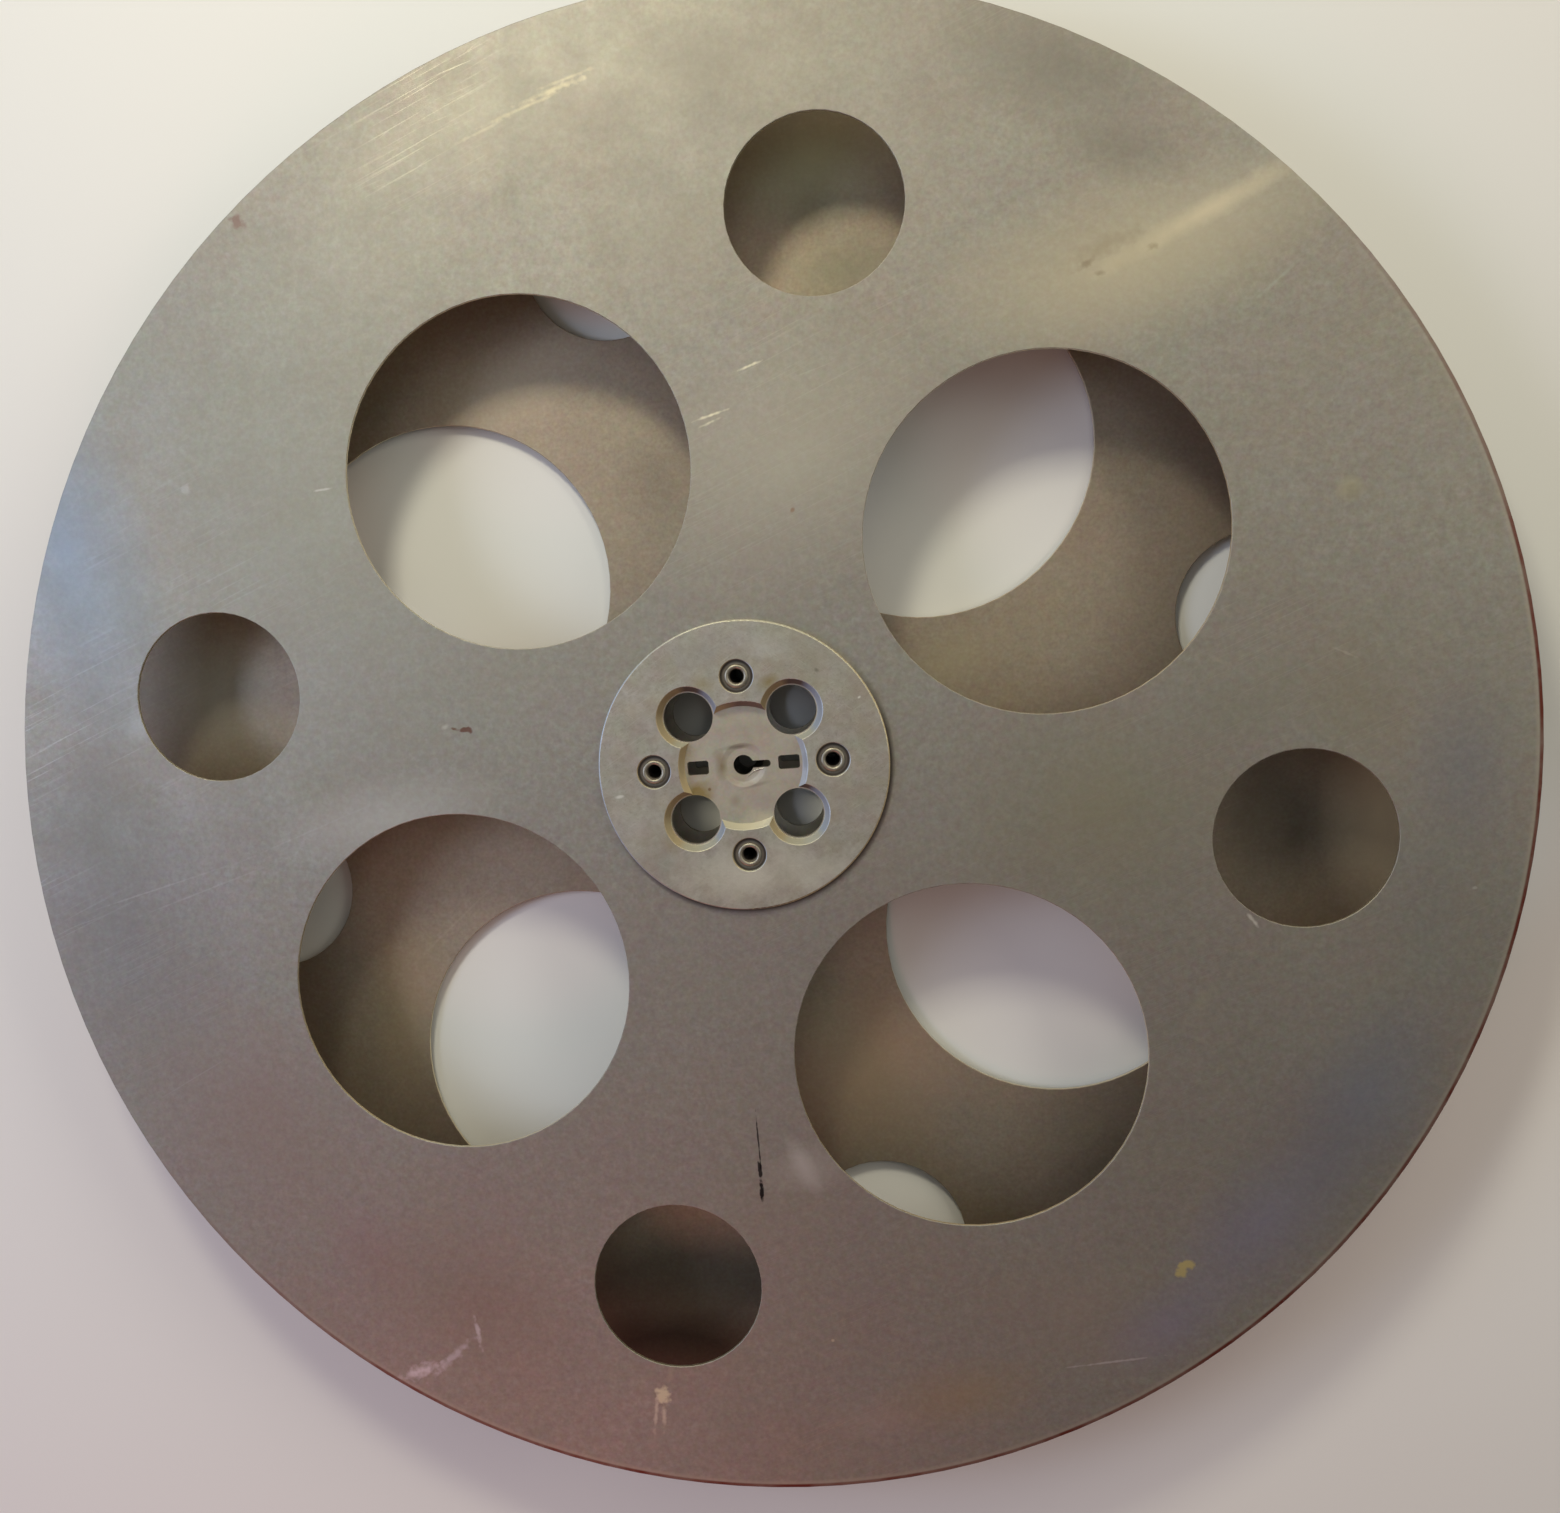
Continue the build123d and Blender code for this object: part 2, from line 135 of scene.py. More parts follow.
# Marks on the front flange's outer face, mostly the broad patches first: middle and size in mm, turn
# in degrees, softness of the edge, strength and colour. Later marks lie over earlier ones. Some broad
# patches are painted light: highlights, shade at the top, and greenish and bluish casts. Of the other
# broad patches, it isn't known which are oxide and which are light on the metal. Without them the
# metal is plain.
FRONT_MARKS = {
    "rubbed_band": ((190, 190), (170, 50), 25, 1.0, 0.42, "#b9b09c"),
    "rubbed_band_core": ((188, 196), (98, 11), 24, 1.0, 0.74, "#d4c7ac"),
    # Painted highlight where the light glances off the top left.
    "painted_highlight_top_left": ((-84, 264), (150, 60), 14, 1.0, 0.22, "#cdc5ae"),
    "rubbed_below_top_hole": ((156, 182), (164, 74), 12, 1.0, 0.58, "#c2b698"),
    # Painted highlight above the hub.
    "painted_highlight_above_hub": ((26, 118), (160, 110), 18, 1.0, 0.52, "#b8b09f"),
    # Painted greenish casts of the light on the left and upper left.
    "painted_green_cast_left": ((-165, 110), (300, 300), 0, 1.0, 0.48, "#a2a08c"),
    "painted_green_cast_upper_left": ((-140, 225), (150, 90), 40, 1.0, 0.18, "#b0ad9c"),
    # Painted shade at the top, dimming the highlight there.
    "painted_shade_at_top": ((4, 270), (320, 150), 0, 1.0, 0.60, "#8c867a"),
    "painted_shade_below_top": ((-14, 204), (90, 70), 0, 1.0, 0.36, "#8e887a"),
    "painted_shade_top_middle": ((4, 270), (70, 44), 0, 1.0, 0.14, "#8a8778"),
    "tarnish_top_right": ((142, 256), (120, 56), -29, 1.0, 0.60, "#757167"),
    "tarnish_above_band": ((160, 223), (64, 26), -14, 1.0, 0.48, "#7a7568"),
    "tarnish_left_middle": ((-274, 6), (70, 120), 0, 1.0, 0.42, "#7d7668"),
    "tarnish_left": ((-272, -50), (110, 170), 10, 1.0, 0.46, "#777472"),
    "grime_over_rubbed_band": ((152, 188), (40, 9), 20, 0.9, 0.30, "#8c8066"),
    "tarnish_right": ((262, -70), (70, 150), -12, 1.0, 0.16, "#6d6f74"),
    "tarnish_low_right": ((220, -172), (80, 150), -40, 1.0, 0.30, "#74727a"),
    "haze_by_low_right_hole": ((12, -166), (11, 32), 24, 1.0, 0.85, "#c0bbb2"),
    "haze_beyond_pen_line": ((14, -168), (40, 24), 12, 1.0, 0.48, "#b8b3a9"),
    "violet_bloom_low_right": ((192, -198), (100, 50), 42, 1.0, 0.46, "#9490a8"),
    "violet_bloom_at_rim": ((234, -146), (50, 96), -30, 1.0, 0.42, "#82889a"),
    "violet_bloom_low": ((154, -238), (66, 36), 30, 1.0, 0.50, "#948ca4"),
    "yellow_bloom_low": ((70, -266), (76, 34), 12, 1.0, 0.45, "#a69068"),
    "pale_bloom_low_right": ((174, -106), (22, 8), 50, 1.0, 0.35, "#a8a288"),
    "brown_bloom_low_right": ((118, -232), (90, 70), 14, 1.0, 0.34, "#a49484"),
    "green_bloom_right": ((196, 8), (70, 30), 10, 1.0, 0.30, "#8a8772"),
    "yellow_bloom_right": ((136, -28), (130, 96), 0, 1.0, 0.48, "#928c6c"),
    "yellow_bloom_far_right": ((238, 12), (50, 60), 0, 1.0, 0.34, "#8f876a"),
    "violet_bloom_right": ((276, -16), (44, 80), 0, 1.0, 0.36, "#7c7a88"),
    "pink_bloom_low_left": ((-176, -196), (60, 34), -48, 1.0, 0.30, "#96817d"),
    "brown_bloom_low_left": ((-130, -222), (120, 76), -30, 1.0, 0.36, "#8a7466"),
    "brown_bloom_left": ((-220, -132), (130, 100), -50, 1.0, 0.42, "#9a8274"),
    "smear_at_rim": ((-158, -250), (22, 7), 20, 0.9, 0.80, "#d2d0d0"),
    "smear_towards_hole": ((-143, -244), (30, 5), 40, 0.9, 0.60, "#c8c6c6"),
    "smear_above_rim": ((-130.9, -233), (2.4, 17), 8, 0.8, 0.70, "#cac8c6"),
    "drip_stem": ((-50, -254), (3.5, 10), -20, 0.9, 0.40, "#b3a890"),
    "drip_head": ((-54, -263), (6.4, 10), 0, 0.5, 0.95, "#d2d0b0"),
    "drip_left_edge": ((-57.6, -271), (2.0, 22), -8, 0.9, 0.80, "#c8c4b0"),
    "drip_right_edge": ((-54.2, -271), (2.4, 16), -4, 0.9, 0.75, "#ccc8b2"),
    "drip_tail": ((-59, -282), (7, 18), -20, 1.0, 0.40, "#ab9c8e"),
    "yellow_fleck": ((161.0, -216), (6.0, 8.6), -20, 0.5, 0.95, "#c6b780"),
    "yellow_fleck_point": ((163.6, -213.2), (6.0, 4.0), 0, 0.5, 0.90, "#c6b780"),
    "brown_fleck": ((-112.4, 22.6), (7, 2.6), -8, 0.4, 0.80, "#6a4233"),
    "brown_fleck_tail": ((-117.4, 23.3), (4.5, 2.0), -20, 0.5, 0.75, "#6f4a3a"),
    "pale_fleck_beside": ((-120.5, 24.6), (4, 2.4), 30, 0.8, 0.50, "#c2bdac"),
    "brown_dot": ((27, 99.6), (2.4, 2.4), 0, 0.5, 0.6, "#8d6a50"),
    "pen_line": ((-5.6, -157), (0.8, 26), 1, 0.4, 0.85, "#2b2725"),
    "pen_blot": ((-5.9, -168), (1.9, 9), 2, 0.4, 0.9, "#1d1a1a"),
    "pen_end": ((-5.8, -176.5), (2.1, 9), 0, 0.4, 0.95, "#1d1a1a"),
    "rim_chip": ((-187, 234), (6, 8.5), 40, 0.6, 0.65, "#83665e"),
    # Painted bluish sheen of light along the left rim.
    "painted_blue_sheen_left": ((-276, 112), (80, 190), 12, 1.0, 0.58, "#8996a2"),
    "square_mark": ((238, 89), (14, 12), 15, 0.6, 0.60, "#aea68a"),
    "square_mark_middle": ((239, 88), (8, 7), 15, 0.8, 0.45, "#8a8371"),
    "green_scratch": ((215, 169), (26, 1.6), 38, 0.9, 0.40, "#a9b1a0"),
    "brown_scuff_1": ((169.8, 185.7), (6, 3.4), 10, 0.8, 0.50, "#857457"),
    "brown_scuff_2": ((145, 182), (9, 3.4), 30, 0.8, 0.45, "#82725a"),
    "brown_scuff_3": ((150, 178), (4, 2.6), 0, 0.8, 0.40, "#7f6f57"),
    "pale_left_of_hub": ((-148, -12), (110, 40), 8, 1.0, 0.52, "#c0bbae"),
    "pale_patch_left": ((-247, 36), (26, 16), 20, 1.0, 0.25, "#bcbab2"),
    "specks_right_1": ((277.6, -67.3), (2.2, 1.6), 0, 0.7, 0.60, "#b8b4aa"),
    "specks_right_2": ((266, -66), (6, 1.2), -6, 0.9, 0.35, "#a9a59b"),
    "scuff_by_right_hole": ((187, 27.3), (9, 2.6), -25, 0.9, 0.35, "#b6ad97"),
    "left_patch": ((-220.7, 129.9), (4, 5), 0, 0.6, 0.35, "#b9b5a9"),
    "nick_by_left_hole": ((-163, 124.7), (9, 1.0), 4, 0.7, 0.6, "#c9c2b4"),
    "scratch_above_hub_1": ((14, 156.8), (11, 1.3), 17, 0.9, 0.8, "#e6dcc0"),
    "scratch_above_hub_2": ((-2, 139.4), (17, 1.3), 14, 0.9, 0.8, "#e6dcc0"),
    "scratch_above_hub_3": ((-3, 136.5), (11, 1.2), 20, 0.9, 0.55, "#e6dcc0"),
    # Scratches drawn bright at the top left: scratches with a painted highlight where they catch the light.
    "scratch_glint_1": ((-55, 270.0), (34, 2.6), 15, 1.0, 0.34, "#e8dab4"),
    "scratch_glint_2": ((-66, 265.0), (46, 2.0), 17, 1.0, 0.28, "#e8dab4"),
    "scratch_glint_3": ((-48, 274.0), (26, 1.8), 14, 1.0, 0.24, "#e8dab4"),
    "scratch_glint_4": ((-84, 258.0), (30, 1.8), 19, 1.0, 0.22, "#e0d4b4"),
    "long_scratch_1": ((-250, -34.5), (75, 1.0), 14, 0.9, 0.35, "#b5b0a8"),
    "long_scratch_2": ((-180, -14), (78, 1.0), 19, 0.9, 0.32, "#b5b0a8"),
    "long_scratch_3": ((-228, -36), (90, 1.0), 17, 0.9, 0.30, "#b5b0a8"),
    "long_scratch_4": ((-244, -117), (50, 0.7), 27, 0.8, 0.4, "#aaa39c"),
    "scratch_low_right": ((131.8, -253.4), (40, 1.0), 6, 0.7, 0.75, "#beb6b0"),
    "scratch_right": ((233.5, 27), (12, 1.2), -28, 0.8, 0.45, "#b9b1a0"),
    "nick_right_hole": ((194.6, -75), (8, 1.7), -55, 0.7, 0.85, "#cfc7ba"),
    "pale_smudge_low": ((32, -276), (46, 22), 0, 1.0, 0.36, "#b2a294"),
    "pale_dot_low": ((18.9, -241), (1.6, 1.6), 0, 0.6, 0.8, "#c2b8a0"),
}


# Marks on the rear flange, in the same terms. Most are painted shadows and painted light, as on the
# front one, where the front flange's shade falls between the flanges; the rest are a greenish film, a
# waxy smear and two scrapes. They show on both faces.
REAR_MARKS = {
    # Painted shadow of the front flange.
    "painted_shadow_by_right_hole": ((216, -42), (80, 92), 0, 0.7, 0.57, "#4a443c"),
    # Painted shadow of the front flange.
    "painted_shadow_by_low_hole": ((-52, -238), (150, 66), 10, 0.5, 0.55, "#48403a"),
    # Painted shadow of the front flange.
    "painted_shadow_under_low_hole": ((-55, -266), (120, 46), 0, 0.6, 0.75, "#2e2a26"),
    # Painted shade by the left rim.
    "painted_shade_by_left_rim": ((-276, 60), (40, 90), 10, 1.0, 0.20, "#4e4941"),
    # Painted light.
    "painted_light_by_left_hole": ((-236, 44), (70, 70), 0, 1.0, 0.60, "#c4c0b2"),
    # Painted shadow of the front flange.
    "painted_shadow_in_upper_right_hole": ((182, 116), (96, 64), -40, 1.0, 0.26, "#544c42"),
    # Painted light.
    "painted_light_by_right_rim": ((258, -42), (50, 110), 0, 1.0, 0.95, "#d0bfa2"),
    # Painted light.
    "painted_light_by_top_hole": ((44, 246), (90, 60), 10, 1.0, 0.75, "#bdbc9c"),
    "greenish_film_by_top_hole": ((54, 200), (60, 34), 0, 1.0, 0.45, "#8c8e75"),
    # Painted light.
    "painted_light_in_upper_left_hole": ((-92, 166), (90, 40), 20, 1.0, 0.48, "#bfb196"),
    # Painted shadow of the front flange.
    "painted_shadow_in_upper_left_hole": ((-30, 122), (40, 60), 0, 1.0, 0.24, "#5c544a"),
    # Painted light.
    "painted_light_towards_hub": ((88, 34), (60, 30), 20, 1.0, 0.36, "#b7ab86"),
    # Painted light.
    "painted_light_in_lower_left_hole": ((-158, -104), (44, 96), -6, 1.0, 0.42, "#c6af84"),
    # Painted warm light.
    "painted_warm_light_in_lower_right_hole": ((42, -142), (90, 84), 0, 1.0, 0.65, "#c9ab8c"),
    # Painted shadow of the front flange.
    "painted_shadow_in_lower_right_hole": ((148, -190), (90, 44), 25, 1.0, 0.30, "#45433a"),
    "wax_smear": ((106, 92), (30, 10), -60, 1.0, 0.30, "#b49f78"),
    "long_scrape_1": ((-130, -60), (90, 1.4), 40, 0.9, 0.20, "#c2b79f"),
    "long_scrape_2": ((150, -112), (110, 1.4), 24, 0.9, 0.20, "#bdb29b"),
}


def rolled_sheet(name, marks, marked_above, film_face_z, film_side):
    """Rolled aluminium, dulled: rough enough to blur every reflection, clouded by thin oxide.

    The marks lie above one height. A painted warm reflection lies on the face at another, and film_side
    is 1 where the film is above that face and -1 where it is below.
    """
    material, tree = empty_material(name)
    place = add(tree, "TexCoord").outputs["Object"]

    # Oxide clouds 120 mm and 20 mm across, mottling 4 mm across and a 1.5 mm etched grain, with
    # blooms of greenish, pinkish and bluish grey 30 mm and 3 mm across.
    cloud = add(tree, "TexNoise", {"Vector": place, "Scale": 1 / (120 * MM), "Detail": 3.0})
    patch = add(
        tree, "TexNoise", {"Vector": place, "Scale": 1 / (20 * MM), "Detail": 5.0, "Roughness": 0.6}
    )
    mottle = add(tree, "TexNoise", {"Vector": place, "Scale": 1 / (4 * MM), "Detail": 2.0})
    grain = add(tree, "TexNoise", {"Vector": place, "Scale": 1 / (1.5 * MM), "Detail": 2.0})
    bloom = add(tree, "TexNoise", {"Vector": place, "Scale": 1 / (30 * MM), "Detail": 2.0}).outputs["Color"]
    fleck = add(tree, "TexNoise", {"Vector": place, "Scale": 1 / (3 * MM), "Detail": 2.0}).outputs["Color"]
    cloud_mask = add(tree, "MapRange", {"Value": cloud, "From Min": 0.35, "From Max": 0.65})
    patch_mask = add(tree, "MapRange", {"Value": patch, "From Min": 0.35, "From Max": 0.75, "To Max": 0.25})
    mottle_mask = add(
        tree, "MapRange", {"Value": mottle, "From Min": 0.35, "From Max": 0.65, "To Max": 0.30}
    )
    grain_mask = add(tree, "MapRange", {"Value": grain, "From Min": 0.3, "From Max": 0.7, "To Max": 0.50})
    colour = add(
        tree, "MixRGB", {"Fac": cloud_mask, "Color1": linear("#a6a195"), "Color2": linear("#a1998d")}
    )
    colour = add(tree, "MixRGB", {"Fac": patch_mask, "Color1": colour, "Color2": linear("#90877b")})
    colour = add(tree, "MixRGB", {"Fac": mottle_mask, "Color1": colour, "Color2": linear("#8c8479")})
    colour = add(tree, "MixRGB", {"Fac": grain_mask, "Color1": colour, "Color2": linear("#867f74")})
    colour = add(tree, "MixRGB", {"Fac": 0.06, "Color1": colour, "Color2": bloom}, blend_type="SOFT_LIGHT")
    colour = add(tree, "MixRGB", {"Fac": 0.13, "Color1": colour, "Color2": fleck}, blend_type="SOFT_LIGHT")

    # Hairlines lie mostly one way, about 20 degrees off the keyway. Real hairlines are a tenth of a
    # millimetre wide: these are drawn wider so that they show.
    rubbed = add(tree, "MapRange", {"Value": cloud, "From Min": 0.50, "From Max": 0.65})
    lines = hairlines(tree, place, 22, 60, 0.8, 0.60)
    for turn, length, width, rarity in ((16, 34, 0.8, 0.68), (31, 22, 0.7, 0.71), (-48, 18, 0.7, 0.76)):
        finer = hairlines(tree, place, turn, length, width, rarity)
        lines = add(tree, "Math", {0: lines, 1: finer}, operation="MAXIMUM")
    lines = add(tree, "Math", {0: lines, 1: rubbed}, operation="MULTIPLY")
    # They are drawn stronger towards the top left: more rubbing, and a painted highlight where the lines
    # catch the light.
    rub_and_glint_strength = spot(tree, place, (-70, 262), (230, 110), 14, 1.0, 0.13)
    rub_and_glint_strength = add(tree, "Math", {0: rub_and_glint_strength, 1: 0.07}, operation="ADD")
    line_mask = add(tree, "Math", {0: lines, 1: rub_and_glint_strength}, operation="MULTIPLY")
    colour = add(tree, "MixRGB", {"Fac": line_mask, "Color1": colour, "Color2": linear("#d2cbb8")})

    # The faces towards the film are browner: a painted warm reflection between the flanges.
    height = add(tree, "SeparateXYZ", {"Vector": place}).outputs["Z"]
    reflection_fade_from = film_face_z - film_side * 0.5 * MM
    warm_reflection = add(tree, "MapRange", {"Value": height, "From Min": reflection_fade_from, "From Max": film_face_z})
    untinted = (1, 1, 1, 1)
    warm_reflection_tint = (1.13, 1.0, 0.88, 1)
    warm_reflection_colour = add(tree, "MixRGB", {"Fac": warm_reflection, "Color1": untinted, "Color2": warm_reflection_tint})
    colour = add(tree, "MixRGB", {"Fac": 1.0, "Color1": colour, "Color2": warm_reflection_colour}, blend_type="MULTIPLY")

    # Marks, in mm: those narrower than small have ragged edges, and than middling, uneven ones.
    small = 10
    middling = 30
    unmarked = colour
    bites = {"From Min": 0.3, "From Max": 0.7, "To Min": -0.25, "To Max": 0.25}
    ragged = add(tree, "MapRange", {"Value": fleck, **bites})
    uneven = add(
        tree, "MapRange", {"Value": patch, "From Min": 0.3, "From Max": 0.7, "To Min": -0.1, "To Max": 0.1}
    )
    for middle, size, turn, edge, strength, paint in marks:
        outline = None
        if min(size) < small:
            outline = ragged
        elif min(size) < middling:
            outline = uneven
        mask = spot(tree, place, middle, size, turn, edge, strength, outline)
        colour = add(tree, "MixRGB", {"Fac": mask, "Color1": colour, "Color2": linear(paint)})
    marked = add(tree, "Math", {0: height, 1: marked_above}, operation="GREATER_THAN")
    colour = add(tree, "MixRGB", {"Fac": marked, "Color1": unmarked, "Color2": colour})

    # The punched edges are drawn bright: burnished by the punch, with a painted glint on top. They are
    # told from the faces by their slope in the scene, which holds while the reel lies flat.
    facing = add(tree, "NewGeometry").outputs["Normal"]
    upright = add(tree, "SeparateXYZ", {"Vector": facing}).outputs["Z"]
    upright = add(tree, "Math", {0: upright}, operation="ABSOLUTE")
    punched_edge_with_glint = add(tree, "MapRange", {"Value": upright, "From Min": 0.7, "From Max": 0.3, "To Max": 0.85})
    colour = add(tree, "MixRGB", {"Fac": punched_edge_with_glint, "Color1": colour, "Color2": linear("#efe4c6")})

    # A painted highlight runs along the rim's edge, and outside that a dark red-brown line. A painted
    # shadow lies round the hub plate's edge. All three lie on the lower right side.
    flat_place = add(tree, "VectorMath", {0: place, 1: (1, 1, 0)}, operation="MULTIPLY")
    radius = add(tree, "VectorMath", {0: flat_place}, operation="LENGTH").outputs["Value"]
    outward = add(tree, "VectorMath", {0: flat_place}, operation="NORMALIZE")
    lower_right_direction = (0.58, -0.81, 0)
    along_lower_right = add(tree, "VectorMath", {0: outward, 1: lower_right_direction}, operation="DOT_PRODUCT")
    along_lower_right = along_lower_right.outputs["Value"]
    lower_right_side = add(tree, "MapRange", {"Value": along_lower_right, "From Min": -0.10, "From Max": 0.45})
    rim_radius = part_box("front_flange")[1].x
    inset = add(tree, "Math", {0: rim_radius, 1: radius}, operation="SUBTRACT")
    # Painted highlight on the rim's edge.
    painted_rim_highlight = add(
        tree, "MapRange", {"Value": inset, "From Min": 3.4 * MM, "From Max": 2.2 * MM, "To Max": 0.45}
    )
    rim = add(tree, "MapRange", {"Value": inset, "From Min": 1.8 * MM, "From Max": 1.2 * MM})
    line_breaks = add(
        tree, "MapRange", {"Value": patch, "From Min": 0.4, "From Max": 0.6, "To Min": 1.0, "To Max": 0.65}
    )
    rim = add(tree, "Math", {0: rim, 1: line_breaks}, operation="MULTIPLY")
    painted_rim_highlight = add(tree, "Math", {0: painted_rim_highlight, 1: lower_right_side}, operation="MULTIPLY")
    rim = add(tree, "Math", {0: rim, 1: lower_right_side}, operation="MULTIPLY")
    colour = add(tree, "MixRGB", {"Fac": painted_rim_highlight, "Color1": colour, "Color2": linear("#b3a996")})
    colour = add(tree, "MixRGB", {"Fac": rim, "Color1": colour, "Color2": linear("#6e3a30")})
    # Painted shadow round the hub plate's edge.
    hub_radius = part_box("front_hub_plate")[1].x
    joint_shadow_reach = hub_radius + 2.2 * MM
    joint_shadow_full = hub_radius + 0.6 * MM
    painted_joint_shadow = add(
        tree, "MapRange", {"Value": radius, "From Min": joint_shadow_reach, "From Max": joint_shadow_full, "To Max": 0.75}
    )
    painted_joint_shadow = add(tree, "Math", {0: painted_joint_shadow, 1: lower_right_side}, operation="MULTIPLY")
    colour = add(tree, "MixRGB", {"Fac": painted_joint_shadow, "Color1": colour, "Color2": linear("#3d322e")})

    rough = add(
        tree, "MapRange", {"Value": patch, "From Min": 0.3, "From Max": 0.7, "To Min": 0.56, "To Max": 0.62}
    )
    rough = add(tree, "Math", {0: rough, 1: line_mask}, operation="SUBTRACT")
    burnish = add(tree, "Math", {0: punched_edge_with_glint, 1: 0.2}, operation="MULTIPLY")
    rough = add(tree, "Math", {0: rough, 1: burnish}, operation="SUBTRACT")
    relief = add(tree, "Math", {0: grain, 1: lines}, operation="SUBTRACT")
    bump = add(tree, "Bump", {"Height": relief, "Strength": 0.08, "Distance": 0.1 * MM})
    surface = add(
        tree, "BsdfPrincipled", {"Base Color": colour, "Metallic": 1.0, "Roughness": rough, "Normal": bump}
    )
    add(tree, "OutputMaterial", {"Surface": surface})
    return material


def finish_with(node, material):
    """Gives a CAD node one material all over."""
    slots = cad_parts[node].data.materials
    slots.clear()
    slots.append(material)


front_inner_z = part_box("front_flange")[0].z
rear_inner_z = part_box("rear_flange")[1].z
just_below_face = front_face_z - 0.3 * MM
whole_thickness = 0
front_sheet = rolled_sheet(
    "dull_rolled_aluminium_front", FRONT_MARKS.values(), just_below_face, front_inner_z, -1
)
rear_sheet = rolled_sheet(
    "dull_rolled_aluminium_rear", REAR_MARKS.values(), whole_thickness, rear_inner_z, 1
)
finish_with("front_flange", front_sheet)
finish_with("rear_flange", rear_sheet)


# ---------------------------------------------------------------- hub plates
# Pressure die-cast aluminium discs, let into the flanges' windows. The drafted recess is as cast,
# and the rim has been hand-rubbed. The four rivet pockets hold old grease, under painted shade.

# Stains on the casting: middle and size in mm, turn in degrees, softness, strength and colour.
CASTING_STAINS = {
    "tea_stain": ((13, 33), (13, 8), 30, 0.9, 0.80, "#8c7b50"),
    "tea_stain_left": ((-14, 34), (12, 8), -20, 1.0, 0.50, "#96875f"),
    "tea_stain_low_left": ((-32, -30), (14, 9), -40, 1.0, 0.45, "#98895f"),
    "pale_cloud_top": ((13, 46), (26, 12), -12, 1.0, 0.40, "#c2bfb6"),
    "pale_cloud_left": ((-40, 25), (16, 22), 40, 1.0, 0.30, "#c4beb4"),
    "pale_cloud_low": ((0, -45), (88, 30), 0, 1.0, 0.88, "#cdc7b4"),
    "pale_cloud_low_left": ((-45, -22), (24, 36), 20, 1.0, 0.26, "#c9c2b2"),
    "olive_bloom_top": ((30, 44), (44, 22), -35, 1.0, 0.45, "#9a9482"),
    "grey_bloom_top": ((-14, 46), (50, 20), 15, 1.0, 0.45, "#98938a"),
    "green_bloom": ((-36, -38), (22, 14), -40, 1.0, 0.35, "#93998a"),
    "pink_bloom": ((40, -19), (14, 22), 20, 1.0, 0.30, "#ab9c95"),
    "dark_fleck_right": ((32, 36), (2.4, 3.2), 60, 0.6, 0.6, "#6c6757"),
    "bright_fleck_right": ((48, 24), (2.2, 1.4), 30, 0.6, 0.8, "#dcd8ca"),
    "bright_fleck_left": ((-50.5, -9), (4.2, 1.6), 4, 0.6, 0.7, "#dcd8ca"),
}


